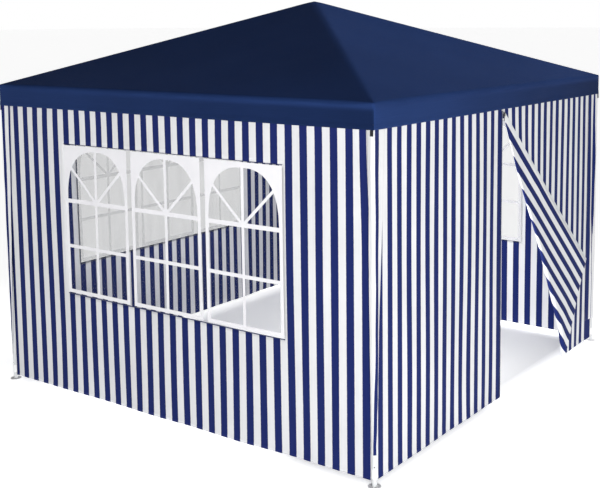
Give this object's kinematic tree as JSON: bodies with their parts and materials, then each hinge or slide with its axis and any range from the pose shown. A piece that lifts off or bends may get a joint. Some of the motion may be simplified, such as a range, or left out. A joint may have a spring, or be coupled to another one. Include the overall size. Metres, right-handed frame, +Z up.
{
  "type": "party gazebo",
  "caption": "Square party gazebo: hipped fabric roof with a valance on a tube frame, striped fabric walls with arched film windows, and a zipped door wall with one corner folded back.",
  "frame": {"origin": "on the ground, midway between the four legs", "axes": "+Z up; the front wall with a window faces -Y, and the wall with the door faces +X"},
  "size_m": [3.074, 3.074, 2.5999],
  "materials": {
    "white_steel": "smooth white powder coat",
    "white_plastic": "moulded, satin",
    "navy_cloth": "woven polyethylene, matt with a slight sheen",
    "striped_cloth": "woven polyethylene in blue and white upright stripes, each 50 mm wide",
    "white_film": "white print on soft film",
    "clear_film": "clear soft film, slightly wavy"
  },
  "bodies": {
    "root": {"foot_front_left": "white_plastic", "foot_front_right": "white_plastic", "foot_rear_right": "white_plastic", "foot_rear_left": "white_plastic", "leg_front_left": "white_steel", "leg_front_right": "white_steel", "leg_rear_right": "white_steel", "leg_rear_left": "white_steel", "leg_sleeve_front_left": "striped_cloth", "leg_sleeve_front_right": "striped_cloth", "leg_sleeve_rear_right": "striped_cloth", "leg_sleeve_rear_left": "striped_cloth", "corner_joint_front_left": "white_steel", "corner_joint_front_right": "white_steel", "corner_joint_rear_right": "white_steel", "corner_joint_rear_left": "white_steel", "rafter_front_left": "white_steel", "rafter_front_right": "white_steel", "rafter_rear_right": "white_steel", "rafter_rear_left": "white_steel", "peak_joint": "white_steel", "eave_rail_front": "white_steel", "eave_rail_right": "white_steel", "eave_rail_rear": "white_steel", "eave_rail_left": "white_steel", "roof_panel_front": "navy_cloth", "roof_panel_right": "navy_cloth", "roof_panel_rear": "navy_cloth", "roof_panel_left": "navy_cloth", "valance_front": "navy_cloth", "valance_right": "navy_cloth", "valance_rear": "navy_cloth", "valance_left": "navy_cloth", "wall_front": "striped_cloth", "wall_rear": "striped_cloth", "wall_left": "striped_cloth", "window_film_front": "clear_film", "window_film_rear": "clear_film", "window_film_left": "clear_film", "window_frame_front": "white_film", "window_frame_rear": "white_film", "window_frame_left": "white_film", "door_wall_near": "striped_cloth", "door_wall_far": "striped_cloth", "door_flap": "striped_cloth"}
  },
  "joints": []
}
